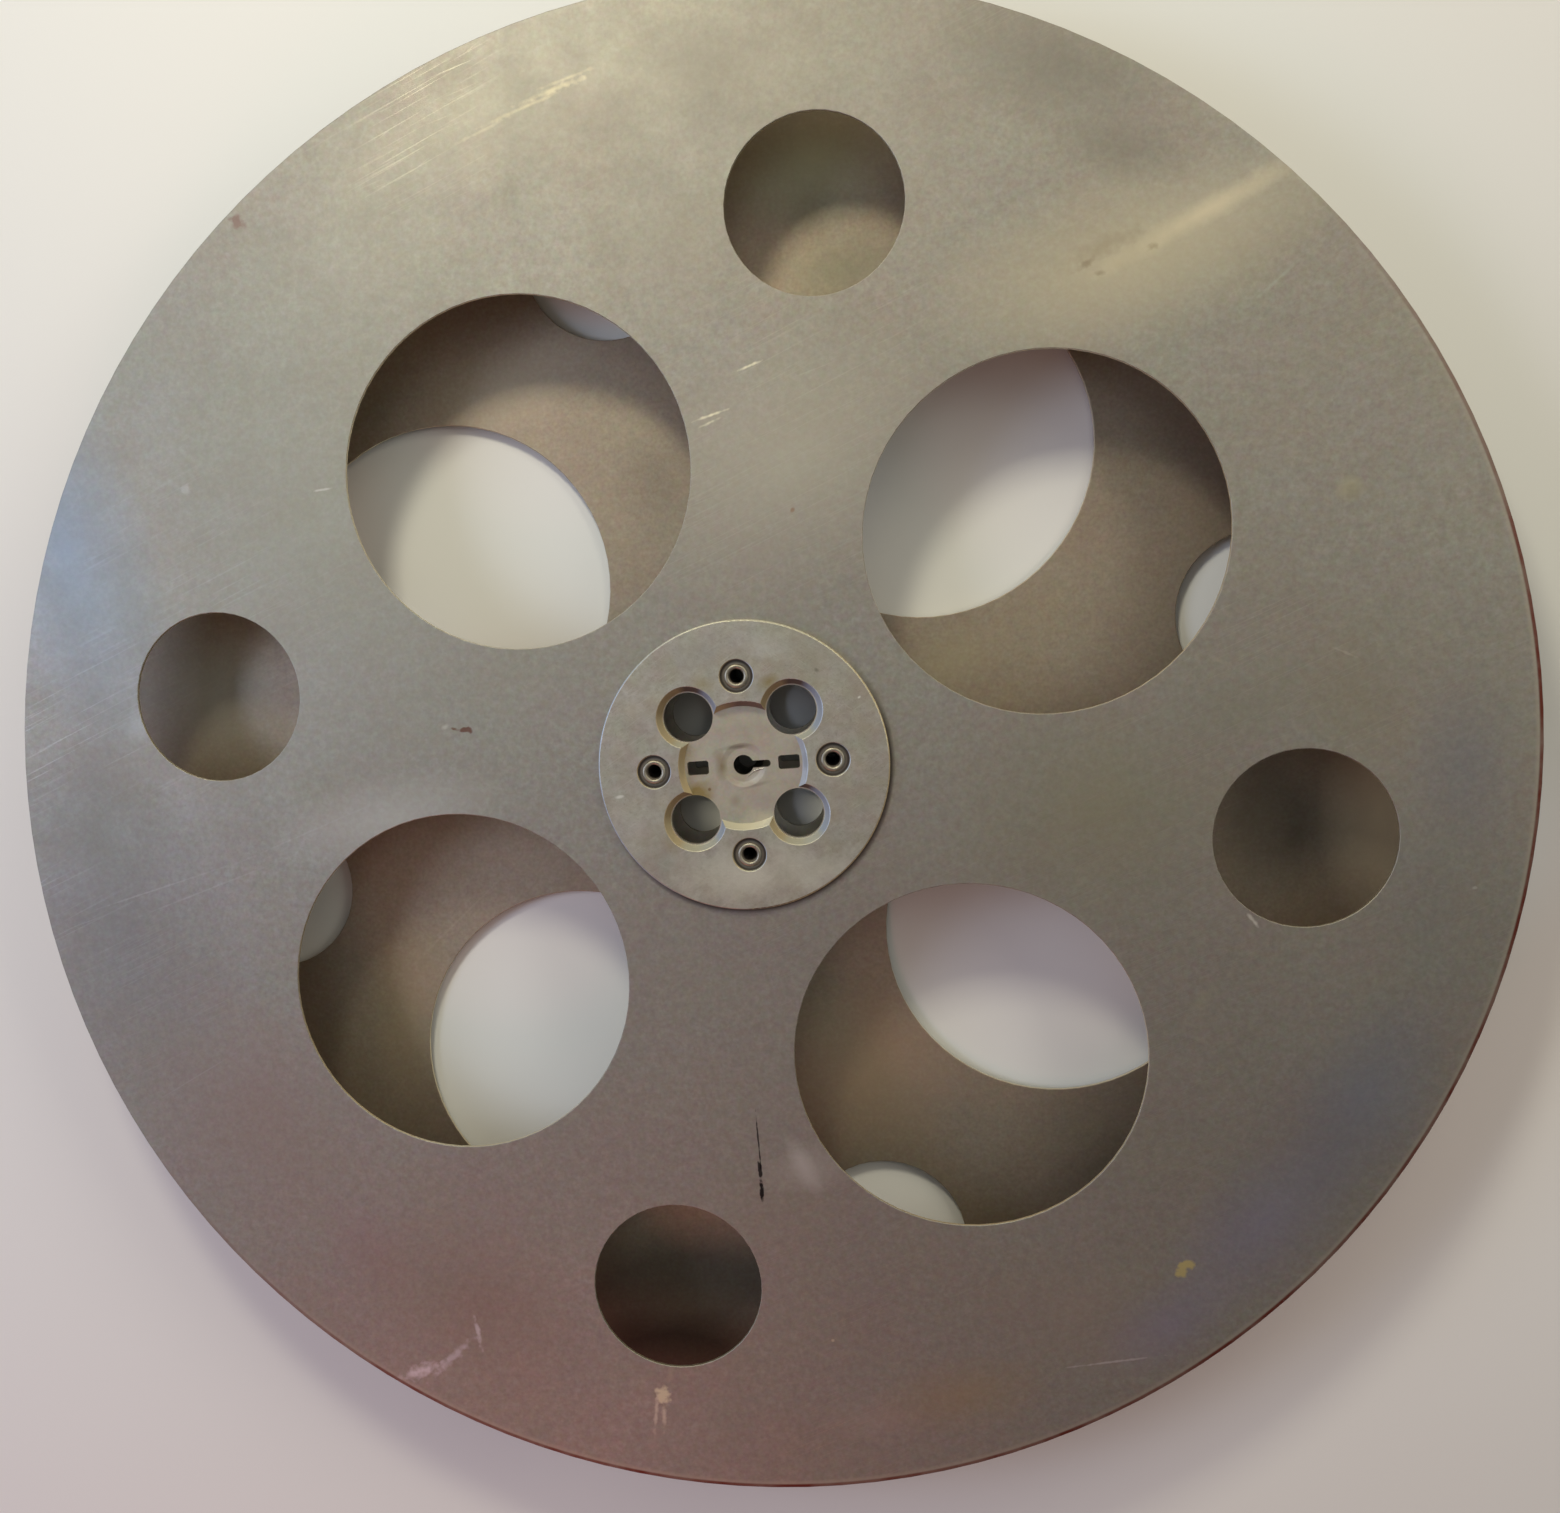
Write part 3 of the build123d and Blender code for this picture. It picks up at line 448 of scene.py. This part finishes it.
def die_cast(name):
    """Die-cast aluminium: paler and more matt than the sheet, pitted, frosted where the die drew off."""
    material, tree = empty_material(name)
    place = add(tree, "TexCoord").outputs["Object"]
    cloud = add(
        tree, "TexNoise", {"Vector": place, "Scale": 1 / (14 * MM), "Detail": 5.0, "Roughness": 0.6}
    )
    bloom = add(tree, "TexNoise", {"Vector": place, "Scale": 1 / (8 * MM), "Detail": 3.0}).outputs["Color"]
    pit = add(tree, "TexNoise", {"Vector": place, "Scale": 1 / (0.8 * MM), "Detail": 3.0})
    mottle = add(tree, "TexNoise", {"Vector": place, "Scale": 1 / (2.5 * MM), "Detail": 3.0})
    rubs = hairlines(tree, place, 30, 12, 0.6, 0.63)
    cross_rubs = hairlines(tree, place, -38, 9, 0.6, 0.66)
    rubs = add(tree, "Math", {0: rubs, 1: cross_rubs}, operation="MAXIMUM")
    cloud_mask = add(tree, "MapRange", {"Value": cloud, "From Min": 0.35, "From Max": 0.65})
    pit_mask = add(tree, "MapRange", {"Value": pit, "From Min": 0.55, "From Max": 0.75, "To Max": 0.4})
    colour = add(
        tree, "MixRGB", {"Fac": cloud_mask, "Color1": linear("#b5b0a2"), "Color2": linear("#a39b8c")}
    )
    mottle_mask = add(
        tree, "MapRange", {"Value": mottle, "From Min": 0.35, "From Max": 0.65, "To Max": 0.45}
    )
    rub_mask = add(tree, "Math", {0: rubs, 1: 0.16}, operation="MULTIPLY")
    colour = add(tree, "MixRGB", {"Fac": mottle_mask, "Color1": colour, "Color2": linear("#978f80")})
    colour = add(tree, "MixRGB", {"Fac": pit_mask, "Color1": colour, "Color2": linear("#857d6d")})
    colour = add(tree, "MixRGB", {"Fac": rub_mask, "Color1": colour, "Color2": linear("#d6d0c0")})
    colour = add(tree, "MixRGB", {"Fac": 0.14, "Color1": colour, "Color2": bloom}, blend_type="SOFT_LIGHT")
    ragged = add(
        tree, "MapRange", {"Value": cloud, "From Min": 0.3, "From Max": 0.7, "To Min": -0.2, "To Max": 0.2}
    )
    for middle, size, turn, edge, strength, paint in CASTING_STAINS.values():
        mask = spot(tree, place, middle, size, turn, edge, strength, ragged)
        colour = add(tree, "MixRGB", {"Fac": mask, "Color1": colour, "Color2": linear(paint)})

    # Old grease and painted shade on the floors of the rivet pockets, darkest where floor and wall meet.
    pocket_width = 13.8
    floor_width = 12.0
    for n in range(1, 5):
        low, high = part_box(f"tubular_rivet_{n}")
        middle = (low + high) / 2 / MM
        grease_and_shade = spot(tree, place, (middle.x, middle.y), (pocket_width, pocket_width), 0, 0.08, 0.75)
        corner = spot(tree, place, (middle.x, middle.y), (floor_width, floor_width), 0, 0.12, 1.0)
        # Painted shade round the edge of each pocket floor.
        wall_side = add(tree, "Math", {0: 1.0, 1: corner}, operation="SUBTRACT")
        dark = add(tree, "Math", {0: grease_and_shade, 1: wall_side}, operation="MULTIPLY")
        colour = add(tree, "MixRGB", {"Fac": grease_and_shade, "Color1": colour, "Color2": linear("#645a4f")})
        colour = add(tree, "MixRGB", {"Fac": dark, "Color1": colour, "Color2": linear("#2e2622")})

    # Drafted walls are as they left the die, frosted and pale.
    facing = add(tree, "NewGeometry").outputs["Normal"]
    upright = add(tree, "SeparateXYZ", {"Vector": facing}).outputs["Z"]
    upright = add(tree, "Math", {0: upright}, operation="ABSOLUTE")
    wall = add(tree, "MapRange", {"Value": upright, "From Min": 0.97, "From Max": 0.70})
    frosted = add(tree, "Math", {0: wall, 1: 0.85}, operation="MULTIPLY")
    colour = add(tree, "MixRGB", {"Fac": frosted, "Color1": colour, "Color2": linear("#bbb4a6")})

    # A wall's tint goes by the way that it faces: painted shade, brown, on walls that face down, and
    # painted reflections, bluish on walls that face left, cream on those that face up and tan on those
    # that face right. Directions are the scene's, so they don't turn with the reel. Direction, then where
    # the tint begins and is full, its strength and its colour.
    for direction, thin, full, strength, paint in (
        ((0.35, -0.93, 0), 0.25, 0.50, 0.85, "#5d4439"),
        ((-1, 0.2, 0), 0.20, 0.42, 0.75, "#aab6c6"),
        ((0.40, 0.90, 0), 0.20, 0.42, 0.75, "#c4bda2"),
        ((0.95, -0.2, 0), 0.20, 0.42, 0.75, "#c2ab80"),
    ):
        side = add(tree, "VectorMath", {0: facing, 1: direction}, operation="DOT_PRODUCT").outputs["Value"]
        side = add(
            tree, "MapRange", {"Value": side, "From Min": thin, "From Max": full, "To Max": strength}
        )
        colour = add(tree, "MixRGB", {"Fac": side, "Color1": colour, "Color2": linear(paint)})

    rough = add(
        tree, "MapRange", {"Value": cloud, "From Min": 0.3, "From Max": 0.7, "To Min": 0.50, "To Max": 0.62}
    )
    rough = add(tree, "Mix", {0: wall, 2: rough, 3: 0.45})
    metal = add(tree, "MapRange", {"Value": wall, "To Min": 0.9, "To Max": 0.35})
    bump = add(tree, "Bump", {"Height": pit, "Strength": 0.35, "Distance": 0.15 * MM})
    values = {"Base Color": colour, "Metallic": metal, "Roughness": rough, "Normal": bump}
    surface = add(tree, "BsdfPrincipled", values)
    add(tree, "OutputMaterial", {"Surface": surface})
    return material


hub_metal = die_cast("die_cast_aluminium")
for node in ("front_hub_plate", "rear_hub_plate"):
    finish_with(node, hub_metal)


# ---------------------------------------------------------------- drive plates
# Pressed steel discs at the bottom of each recess, zinc plated. They carry the keyed spindle hole in
# a shallow dish, the drive slots and the four finger holes. Oil and tea-coloured rust stain them,
# with painted shade along the top of the dish and a painted highlight low in it.

# Stains on the plates: middle and size in mm, turn in degrees, softness, strength and colour.
DRIVE_PLATE_STAINS = {
    "yellow_by_left_slot": ((-19, -10.5), (14, 13), 15, 0.9, 0.90, "#9c8650"),
    "rust_dot": ((-14.5, -9), (1.6, 1.6), 0, 0.6, 0.7, "#7a5a38"),
    "brown_beside_dish": ((-9, 0.5), (6, 13), 8, 0.9, 0.75, "#86714f"),
    "brown_low": ((-4, -14.5), (6, 6), 0, 1.0, 0.45, "#93806a"),
    # Painted shade along the top of the dish.
    "painted_shade_above_dish": ((-1, 7.6), (16, 2.4), 4, 0.9, 0.65, "#6f675c"),
    "oil_below_dish": ((4, -8.6), (13, 2.0), 12, 0.9, 0.45, "#7b7366"),
    # Painted highlight on the dish's low slope.
    "painted_highlight_in_dish": ((4, -5.6), (11, 5), 14, 0.8, 0.60, "#cbc7ba"),
    "pale_bloom_low": ((8, -24), (22, 12), 0, 1.0, 0.90, "#d8caac"),
    "grey_bloom_low": ((8, -15), (18, 9), -20, 1.0, 0.30, "#a59c90"),
    "pink_bloom_top": ((2, 14), (24, 8), 5, 1.0, 0.30, "#a99a90"),
}


def plated_steel(name, stains):
    """Zinc-plated steel: dull, even grey with a crystal bloom, stained through to rust in places."""
    material, tree = empty_material(name)
    place = add(tree, "TexCoord").outputs["Object"]
    cloud = add(tree, "TexNoise", {"Vector": place, "Scale": 1 / (9 * MM), "Detail": 4.0, "Roughness": 0.6})
    bloom = add(tree, "TexNoise", {"Vector": place, "Scale": 1 / (6 * MM), "Detail": 2.0}).outputs["Color"]
    crystal = add(tree, "TexVoronoi", {"Vector": place, "Scale": 1 / (1.2 * MM)}).outputs["Color"]
    cloud_mask = add(tree, "MapRange", {"Value": cloud, "From Min": 0.35, "From Max": 0.65})
    colour = add(
        tree, "MixRGB", {"Fac": cloud_mask, "Color1": linear("#beb4a2"), "Color2": linear("#b0a594")}
    )
    colour = add(tree, "MixRGB", {"Fac": 0.14, "Color1": colour, "Color2": bloom}, blend_type="SOFT_LIGHT")
    colour = add(
        tree, "MixRGB", {"Fac": 0.07, "Color1": colour, "Color2": crystal}, blend_type="SOFT_LIGHT"
    )
    ragged = add(
        tree, "MapRange", {"Value": cloud, "From Min": 0.3, "From Max": 0.7, "To Min": -0.2, "To Max": 0.2}
    )
    for middle, size, turn, edge, strength, paint in stains:
        mask = spot(tree, place, middle, size, turn, edge, strength, ragged)
        colour = add(tree, "MixRGB", {"Fac": mask, "Color1": colour, "Color2": linear(paint)})
    rough = add(
        tree, "MapRange", {"Value": cloud, "From Min": 0.3, "From Max": 0.7, "To Min": 0.50, "To Max": 0.62}
    )
    bump = add(tree, "Bump", {"Height": cloud, "Strength": 0.15, "Distance": 0.2 * MM})
    surface = add(
        tree, "BsdfPrincipled", {"Base Color": colour, "Metallic": 1.0, "Roughness": rough, "Normal": bump}
    )
    add(tree, "OutputMaterial", {"Surface": surface})
    return material


drive_metal = plated_steel("zinc_plated_pressed_steel", DRIVE_PLATE_STAINS.values())
for node in ("front_drive_plate", "rear_drive_plate"):
    finish_with(node, drive_metal)


# ---------------------------------------------------------------- keyway burr and dish lip
# Ragged lips of steel where the spindle's key has knocked the drive plate each time the reel was
# threaded on: one along the keyway's lower side, and a lower, broader one round the dish's edge.

# Paths in mm from the spindle axis, then the height and half width of the lip in mm.
KNOCKED_LIPS = {
    "keyway_burr": (
        ((0.9, -5.1), (2.3, -4.0), (4.0, -2.8), (6.2, -2.1), (8.6, -1.9), (10.6, -1.8)), 0.60, 0.62
    ),
    "dish_lip": (((-0.5, -8.7), (2.6, -8.7), (5.6, -8.2), (8.4, -6.8), (10.2, -4.6)), 0.34, 0.70),
}


def knocked_lip(name, path, height, half_width):
    """A ragged ridge on the drive plate that swells and dies away along a path."""
    # The foot is sunk below the floor of the dish, so that no gap shows under the ridge.
    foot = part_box("front_drive_plate")[1].z - 0.35 * MM
    steps_per_leg = 10
    points = []
    for start, end in zip(path, path[1:]):
        start, end = Vector(start), Vector(end)
        points += [start.lerp(end, step / steps_per_leg) for step in range(steps_per_leg)]
    # Cross-section: share of the half width, share of the height.
    section = ((-1.0, 0.0), (-0.7, 0.6), (-0.1, 1.0), (0.6, 0.7), (1.0, 0.0))
    lean = 0.4
    least_width = 0.35
    least_rise = 0.05
    ridge = bmesh.new()
    rows = []
    for i, point in enumerate(points):
        ragged = 0.7 + 0.2 * math.sin(i * 1.1) + 0.1 * math.sin(i * 2.3 + 1.0)
        swell = math.sin(math.pi * i / (len(points) - 1)) ** 0.6
        across = half_width * (least_width + (1 - least_width) * ragged * swell)
        rise = height * ragged * swell + least_rise
        row = []
        for share, up in section:
            x = point.x + share * across * lean
            y = point.y + share * across
            row.append(ridge.verts.new((x * MM, y * MM, foot + up * rise * MM)))
        rows.append(row)
    for row, following in zip(rows, rows[1:]):
        for i in range(len(row)):
            j = (i + 1) % len(row)
            ridge.faces.new((row[i], row[j], following[j], following[i]))
    ridge.faces.new(rows[0])
    ridge.faces.new(reversed(rows[-1]))
    bmesh.ops.recalc_face_normals(ridge, faces=ridge.faces)
    mesh = bpy.data.meshes.new(name)
    ridge.to_mesh(mesh)
    ridge.free()
    for face in mesh.polygons:
        face.use_smooth = True
    piece = bpy.data.objects.new(name, mesh)
    bpy.context.scene.collection.objects.link(piece)
    return piece


def bright_steel(name):
    """Steel rubbed bare and bright by the key, with fine knocks."""
    material, tree = empty_material(name)
    place = add(tree, "TexCoord").outputs["Object"]
    knock = add(tree, "TexNoise", {"Vector": place, "Scale": 1 / (0.6 * MM), "Detail": 3.0})
    knock_mask = add(tree, "MapRange", {"Value": knock, "From Min": 0.4, "From Max": 0.7})
    colour = add(
        tree, "MixRGB", {"Fac": knock_mask, "Color1": linear("#d2ccbe"), "Color2": linear("#a8a092")}
    )
    rough = add(
        tree, "MapRange", {"Value": knock, "From Min": 0.3, "From Max": 0.7, "To Min": 0.45, "To Max": 0.60}
    )
    bump = add(tree, "Bump", {"Height": knock, "Strength": 0.2, "Distance": 0.1 * MM})
    surface = add(
        tree, "BsdfPrincipled", {"Base Color": colour, "Metallic": 1.0, "Roughness": rough, "Normal": bump}
    )
    add(tree, "OutputMaterial", {"Surface": surface})
    return material


worn_steel = bright_steel("bare_worn_steel")
for name, (path, height, half_width) in KNOCKED_LIPS.items():
    piece = knocked_lip(name, path, height, half_width)
    piece.data.materials.append(worn_steel)
    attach(piece, "root")


# ---------------------------------------------------------------- tubular rivets
# Four nickel-plated steel tubes, rolled over at both ends into bright lips that clamp the hub plates
# and flanges together. The bores are open, and old oil has darkened their walls.

def nickel_plate(name):
    """Nickel-plated steel: warm and bright on the rolled lip, dark with oil inside the bore."""
    material, tree = empty_material(name)
    place = add(tree, "TexCoord").outputs["Object"]
    tarnish = add(tree, "TexNoise", {"Vector": place, "Scale": 1 / (2.5 * MM), "Detail": 4.0})
    tarnish_mask = add(
        tree, "MapRange", {"Value": tarnish, "From Min": 0.4, "From Max": 0.7, "To Max": 0.6}
    )
    colour = add(
        tree, "MixRGB", {"Fac": tarnish_mask, "Color1": linear("#a39b8a"), "Color2": linear("#857b6b")}
    )

    # Depth below the lips of either end, whichever is nearer.
    low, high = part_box("tubular_rivet_1")
    height = add(tree, "SeparateXYZ", {"Vector": place}).outputs["Z"]
    above_middle = add(tree, "Math", {0: height, 1: (low.z + high.z) / 2}, operation="SUBTRACT")
    above_middle = add(tree, "Math", {0: above_middle}, operation="ABSOLUTE")
    lip = (high.z - low.z) / 2
    oiled = add(
        tree, "MapRange", {"Value": above_middle, "From Min": lip - 0.5 * MM, "From Max": lip - 1.3 * MM}
    )
    colour = add(tree, "MixRGB", {"Fac": oiled, "Color1": colour, "Color2": linear("#776c60")})
    rough = add(tree, "Mix", {0: oiled, 2: 0.46, 3: 0.8})
    metal = add(tree, "MapRange", {"Value": oiled, "To Min": 1.0, "To Max": 0.1})
    bump = add(tree, "Bump", {"Height": tarnish, "Strength": 0.2, "Distance": 0.1 * MM})
    values = {"Base Color": colour, "Metallic": metal, "Roughness": rough, "Normal": bump}
    surface = add(tree, "BsdfPrincipled", values)
    add(tree, "OutputMaterial", {"Surface": surface})
    return material


rivet_metal = nickel_plate("nickel_plated_steel")
for n in range(1, 5):
    finish_with(f"tubular_rivet_{n}", rivet_metal)


# ---------------------------------------------------------------- spindle sleeve and spacer tubes
# Lengths of drawn steel tube inside the drum, left unplated: the split sleeve that the spindle runs
# in, and one spacer round each rivet. Oil has kept them from rust but turned them brown.

def drawn_steel(name):
    """Drawn steel tube: fine die lines along its length under a film of brown oil."""
    material, tree = empty_material(name)
    place = add(tree, "TexCoord").outputs["Object"]
    scale = (1 / (0.4 * MM), 1 / (0.4 * MM), 1 / (30 * MM))
    drawn_out = add(tree, "Mapping", {"Vector": place, "Scale": scale})
    die_line = add(tree, "TexNoise", {"Vector": drawn_out, "Scale": 1.0, "Detail": 2.0})
    oil = add(tree, "TexNoise", {"Vector": place, "Scale": 1 / (7 * MM), "Detail": 4.0})
    line_mask = add(tree, "MapRange", {"Value": die_line, "From Min": 0.4, "From Max": 0.7, "To Max": 0.5})
    oil_mask = add(tree, "MapRange", {"Value": oil, "From Min": 0.4, "From Max": 0.65, "To Max": 0.8})
    colour = add(
        tree, "MixRGB", {"Fac": line_mask, "Color1": linear("#87827a"), "Color2": linear("#6c6861")}
    )
    colour = add(tree, "MixRGB", {"Fac": oil_mask, "Color1": colour, "Color2": linear("#5a4836")})
    rough = add(
        tree, "MapRange", {"Value": oil, "From Min": 0.3, "From Max": 0.7, "To Min": 0.45, "To Max": 0.32}
    )
    bump = add(tree, "Bump", {"Height": die_line, "Strength": 0.2, "Distance": 0.1 * MM})
    surface = add(
        tree, "BsdfPrincipled", {"Base Color": colour, "Metallic": 1.0, "Roughness": rough, "Normal": bump}
    )
    add(tree, "OutputMaterial", {"Surface": surface})
    return material


tube_metal = drawn_steel("oiled_drawn_steel")
for node in ["spindle_sleeve"] + [f"spacer_tube_{n}" for n in range(1, 5)]:
    finish_with(node, tube_metal)


# ---------------------------------------------------------------- winding drum
# Aluminium strip rolled into a drum, its seam closed by a strap inside and four countersunk rivets.
# The first turns of film have burnished rings round it, with dust between them.

def burnished_strip(name):
    """Aluminium strip: satin, with fine rings round the drum from slipping film."""
    material, tree = empty_material(name)
    place = add(tree, "TexCoord").outputs["Object"]
    scale = (1 / (60 * MM), 1 / (60 * MM), 1 / (0.8 * MM))
    ringed = add(tree, "Mapping", {"Vector": place, "Scale": scale})
    ring = add(tree, "TexNoise", {"Vector": ringed, "Scale": 1.0, "Detail": 2.0})
    dust = add(
        tree, "TexNoise", {"Vector": place, "Scale": 1 / (11 * MM), "Detail": 5.0, "Roughness": 0.65}
    )
    ring_mask = add(tree, "MapRange", {"Value": ring, "From Min": 0.45, "From Max": 0.7, "To Max": 0.55})
    dust_mask = add(tree, "MapRange", {"Value": dust, "From Min": 0.45, "From Max": 0.7, "To Max": 0.5})
    colour = add(
        tree, "MixRGB", {"Fac": ring_mask, "Color1": linear("#a19b8e"), "Color2": linear("#c2bcad")}
    )
    colour = add(tree, "MixRGB", {"Fac": dust_mask, "Color1": colour, "Color2": linear("#857662")})
    rough = add(
        tree, "MapRange", {"Value": ring, "From Min": 0.4, "From Max": 0.7, "To Min": 0.52, "To Max": 0.36}
    )
    bump = add(tree, "Bump", {"Height": ring, "Strength": 0.15, "Distance": 0.1 * MM})
    surface = add(
        tree, "BsdfPrincipled", {"Base Color": colour, "Metallic": 1.0, "Roughness": rough, "Normal": bump}
    )
    add(tree, "OutputMaterial", {"Surface": surface})
    return material


drum_metal = burnished_strip("burnished_aluminium_strip")
for node in ("winding_drum", "drum_seam_strap"):
    finish_with(node, drum_metal)


# ---------------------------------------------------------------- seam rivets
# Four small countersunk aluminium rivets, hammered flush with the drum. Each head shows the faint
# facets of the snap and dark patches where dust has caught.

def hammered_rivet(name):
    """Soft aluminium rivet metal: bright, faceted by the hammer, dusty in the low spots."""
    material, tree = empty_material(name)
    place = add(tree, "TexCoord").outputs["Object"]
    facet = add(tree, "TexVoronoi", {"Vector": place, "Scale": 1 / (1.5 * MM)})
    dust = add(tree, "TexNoise", {"Vector": place, "Scale": 1 / (1.2 * MM), "Detail": 3.0})
    dust_mask = add(tree, "MapRange", {"Value": dust, "From Min": 0.5, "From Max": 0.75, "To Max": 0.7})
    colour = add(
        tree, "MixRGB", {"Fac": dust_mask, "Color1": linear("#c4c0b5"), "Color2": linear("#6f6457")}
    )
    rough = add(
        tree, "MapRange", {"Value": dust, "From Min": 0.3, "From Max": 0.7, "To Min": 0.32, "To Max": 0.5}
    )
    bump = add(tree, "Bump", {"Height": facet, "Strength": 0.4, "Distance": 0.2 * MM})
    surface = add(
        tree, "BsdfPrincipled", {"Base Color": colour, "Metallic": 1.0, "Roughness": rough, "Normal": bump}
    )
    add(tree, "OutputMaterial", {"Surface": surface})
    return material


seam_rivet_metal = hammered_rivet("hammered_aluminium_rivet")
for n in range(1, 5):
    finish_with(f"seam_rivet_{n}", seam_rivet_metal)


# ---------------------------------------------------------------- floor and light
# A pale seamless floor and soft studio light: a small warm lamp beyond the top of the reel, soft
# boxes round it, bluish on the left and reddish at the low side, one overhead and a dim dome.

half = 4.0
corners = [(-half, -half, 0), (half, -half, 0), (half, half, 0), (-half, half, 0)]
floor_mesh = bpy.data.meshes.new("floor")
floor_mesh.from_pydata(corners, [], [(0, 1, 2, 3)])
floor = bpy.data.objects.new("floor", floor_mesh)
bpy.context.scene.collection.objects.link(floor)
floor_paint, tree = empty_material("pale_floor")
matt = add(tree, "BsdfDiffuse", {"Color": linear("#dedad2")})
add(tree, "OutputMaterial", {"Surface": matt})
floor_mesh.materials.append(floor_paint)


def lamp(name, place, aim, size, power, colour):
    """A square soft lamp: where it stands, what it faces, its width, watts and colour."""
    data = bpy.data.lights.new(name, "AREA")
    data.size = size
    data.energy = power
    data.color = colour
    body = bpy.data.objects.new(name, data)
    body.location = place
    body.rotation_euler = (Vector(aim) - Vector(place)).to_track_quat("-Z", "Y").to_euler()
    bpy.context.scene.collection.objects.link(body)


reel_middle = (0, 0, front_face_z)
LAMPS = {
    "key_lamp": ((-0.18, 0.70, 0.65), reel_middle, 0.16, 3.9, (1.0, 0.98, 0.80)),
    "top_right_softbox": ((0.6, 0.9, 0.7), reel_middle, 0.6, 3.6, (1.0, 0.94, 0.77)),
    "left_softbox": ((-1.1, 0.15, 0.9), reel_middle, 0.6, 8.2, (0.62, 0.73, 1.0)),
    "right_softbox": ((1.1, 0.3, 0.9), reel_middle, 0.6, 2.7, (1.0, 1.0, 0.9)),
    "low_softbox": ((-0.4, -0.95, 0.7), reel_middle, 0.5, 2.0, (1.0, 0.32, 0.32)),
    "overhead_softbox": ((0.0, 0.3, 1.6), reel_middle, 0.8, 1.3, (0.85, 0.96, 1.0)),
}
for name, values in LAMPS.items():
    lamp(name, *values)

world = bpy.data.worlds.new("dome")
world.use_nodes = True
tree = world.node_tree
tree.nodes.clear()
background = add(tree, "Background", {"Color": linear("#d8d8d8"), "Strength": 0.24})
add(tree, "OutputWorld", {"Surface": background})
bpy.context.scene.world = world
